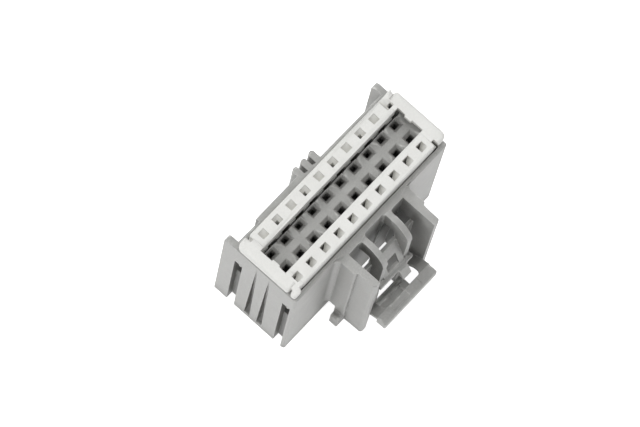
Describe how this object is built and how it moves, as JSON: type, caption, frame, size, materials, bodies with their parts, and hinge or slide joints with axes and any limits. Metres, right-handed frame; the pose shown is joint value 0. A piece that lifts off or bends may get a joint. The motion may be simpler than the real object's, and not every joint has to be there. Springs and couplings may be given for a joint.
{
  "type": "electrical connector",
  "caption": "Rectangular two-row plug housing for crimped contacts, with a locking lever between guard wings and a push-in front retainer that locks the contacts.",
  "frame": {"origin": "under the middle of the contact field, on the wire entry face", "axes": "+Z in the mating direction, X along the rows of contacts, the locking lever on the -Y side"},
  "size_m": [0.0282, 0.0199, 0.023],
  "materials": {
    "grey_plastic": "matt moulded",
    "white_plastic": "smooth moulded"
  },
  "bodies": {
    "housing": {"housing": "grey_plastic"},
    "retainer": {"retainer": "white_plastic"}
  },
  "joints": [
    {"name": "retainer_slide", "type": "slide", "parent": "housing", "child": "retainer", "axis": [0, 0, -1], "range_m": [0, 0.0013]}
  ]
}
